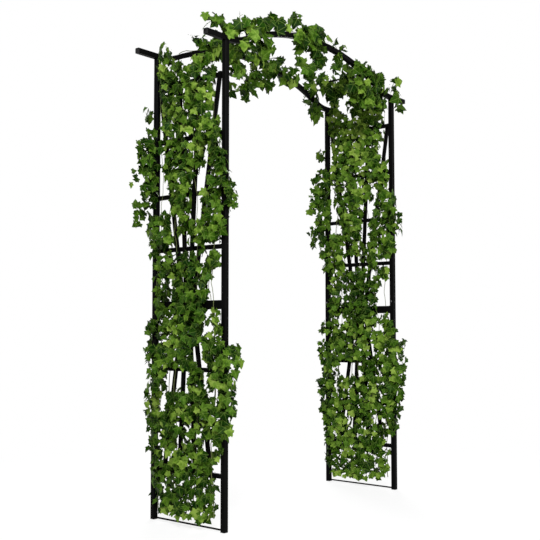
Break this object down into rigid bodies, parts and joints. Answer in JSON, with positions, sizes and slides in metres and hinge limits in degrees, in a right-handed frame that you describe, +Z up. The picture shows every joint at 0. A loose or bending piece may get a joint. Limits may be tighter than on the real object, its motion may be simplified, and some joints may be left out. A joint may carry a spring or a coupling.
{
  "type": "garden arch pergola",
  "caption": "Black metal garden arch with fan trellis sides, two arched ribs with level overhanging ends, and climbing ivy.",
  "frame": {"origin": "on the ground, midway between the four posts", "axes": "+X across the walkway to the right as seen from the front, +Y from front to rear through the arch, +Z up"},
  "size_m": [1.62, 0.6264, 2.4096],
  "materials": {
    "frame": "satin black powder coat",
    "inner_tube": "satin black powder coat",
    "black_plastic": "moulded, matte",
    "fastener": "black oxide",
    "stem": "bark of a young ivy stem",
    "leaf": "waxy leaf"
  },
  "bodies": {
    "root": {"arch_ivy_leaves": "leaf", "coupler_screws": "fastener", "foot_plugs": "black_plastic", "front_rib": "frame", "ivy_stems": "stem", "joint_rail_bolts": "fastener", "joint_rail_nuts": "fastener", "left_arch_rung": "frame", "left_fan_bottom_rail": "frame", "left_fan_top_rail": "frame", "left_ground_rod": "frame", "left_ivy_leaves": "leaf", "left_lower_fan_slat_1": "frame", "left_lower_fan_slat_2": "frame", "left_lower_fan_slat_3": "frame", "left_lower_fan_slat_4": "frame", "left_lower_front_post": "frame", "left_lower_joint_rail": "frame", "left_lower_middle_rail": "frame", "left_lower_narrow_rail": "frame", "left_lower_rear_post": "frame", "left_upper_fan_slat_1": "frame", "left_upper_fan_slat_2": "frame", "left_upper_fan_slat_3": "frame", "left_upper_fan_slat_4": "frame", "left_upper_front_post": "frame", "left_upper_joint_rail": "frame", "left_upper_middle_rail": "frame", "left_upper_narrow_rail": "frame", "left_upper_rear_post": "frame", "left_upper_spread_rail": "frame", "post_couplers": "inner_tube", "rear_rib": "frame", "rib_end_caps": "black_plastic", "rib_spigots": "inner_tube", "right_arch_rung": "frame", "right_fan_bottom_rail": "frame", "right_fan_top_rail": "frame", "right_ground_rod": "frame", "right_ivy_leaves": "leaf", "right_lower_fan_slat_1": "frame", "right_lower_fan_slat_2": "frame", "right_lower_fan_slat_3": "frame", "right_lower_fan_slat_4": "frame", "right_lower_front_post": "frame", "right_lower_joint_rail": "frame", "right_lower_middle_rail": "frame", "right_lower_narrow_rail": "frame", "right_lower_rear_post": "frame", "right_upper_fan_slat_1": "frame", "right_upper_fan_slat_2": "frame", "right_upper_fan_slat_3": "frame", "right_upper_fan_slat_4": "frame", "right_upper_front_post": "frame", "right_upper_joint_rail": "frame", "right_upper_middle_rail": "frame", "right_upper_narrow_rail": "frame", "right_upper_rear_post": "frame", "right_upper_spread_rail": "frame"}
  },
  "joints": []
}
